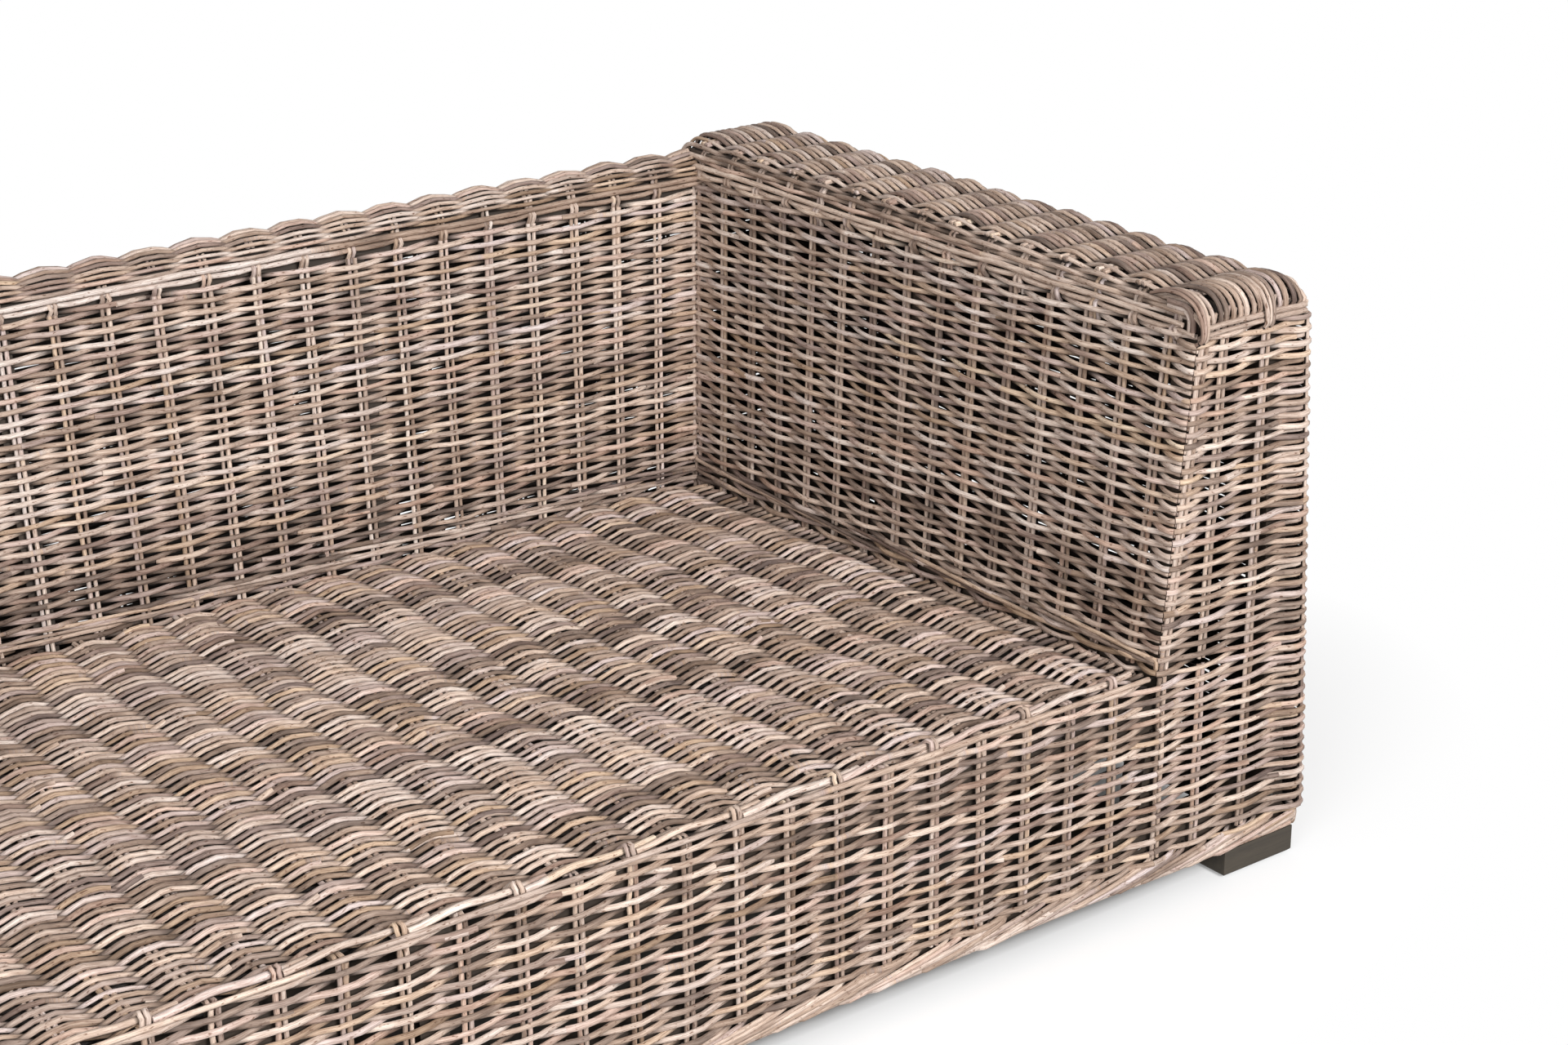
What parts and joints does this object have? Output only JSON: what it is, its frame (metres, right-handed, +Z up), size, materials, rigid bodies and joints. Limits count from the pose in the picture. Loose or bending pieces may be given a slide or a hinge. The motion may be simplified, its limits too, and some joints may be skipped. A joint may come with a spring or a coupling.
{
  "type": "garden sofa",
  "caption": "Woven cane sofa base with tall block arms, a back of like height, a flat woven seat and dark wooden block feet, for loose cushions.",
  "frame": {"origin": "on the ground, under the middle of the sofa's bounding box", "axes": "+X runs across the sofa to the right arm as seen from the front, +Y runs from the front to the back, +Z is up"},
  "size_m": [2.2, 0.925, 0.684],
  "materials": {
    "woven_cane": "grey-brown natural cane, woven",
    "frame_wood": "sawn hardwood, unfinished",
    "foot_wood": "dark stained, satin",
    "screw_steel": "zinc plated",
    "glide_plastic": "moulded"
  },
  "bodies": {
    "root": {"apron_binding": "woven_cane", "apron_weave": "woven_cane", "arm_cross_rails": "frame_wood", "arm_front_weave_left": "woven_cane", "arm_front_weave_right": "woven_cane", "arm_inner_weave_left": "woven_cane", "arm_inner_weave_right": "woven_cane", "arm_outer_weave_left": "woven_cane", "arm_outer_weave_right": "woven_cane", "arm_rail_inner_left": "frame_wood", "arm_rail_inner_right": "frame_wood", "arm_rail_outer_left": "frame_wood", "arm_rail_outer_right": "frame_wood", "arm_studs": "frame_wood", "arm_top_weave_left": "woven_cane", "arm_top_weave_right": "woven_cane", "back_inner_weave": "woven_cane", "back_ribs": "frame_wood", "back_top_rail": "frame_wood", "back_top_weave": "woven_cane", "base_rail_front": "frame_wood", "base_rail_inner_left": "frame_wood", "base_rail_inner_right": "frame_wood", "base_rail_left": "frame_wood", "base_rail_middle": "frame_wood", "base_rail_rear": "frame_wood", "base_rail_right": "frame_wood", "border_front": "woven_cane", "border_left": "woven_cane", "border_rear": "woven_cane", "border_right": "woven_cane", "corner_blocks": "frame_wood", "foot_front_left": "foot_wood", "foot_front_middle": "foot_wood", "foot_front_right": "foot_wood", "foot_glides": "glide_plastic", "foot_rear_left": "foot_wood", "foot_rear_middle": "foot_wood", "foot_rear_right": "foot_wood", "foot_screws": "screw_steel", "post_front_inner_left": "frame_wood", "post_front_inner_right": "frame_wood", "post_front_outer_left": "frame_wood", "post_front_outer_right": "frame_wood", "post_rear_inner_left": "frame_wood", "post_rear_inner_right": "frame_wood", "post_rear_outer_left": "frame_wood", "post_rear_outer_right": "frame_wood", "post_screws": "screw_steel", "rail_screws": "screw_steel", "rear_weave": "woven_cane", "seat_deck": "woven_cane", "seat_rail_front": "frame_wood", "seat_rail_left": "frame_wood", "seat_rail_middle": "frame_wood", "seat_rail_rear": "frame_wood", "seat_rail_right": "frame_wood", "seat_slats": "frame_wood", "seat_studs": "frame_wood"}
  },
  "joints": []
}
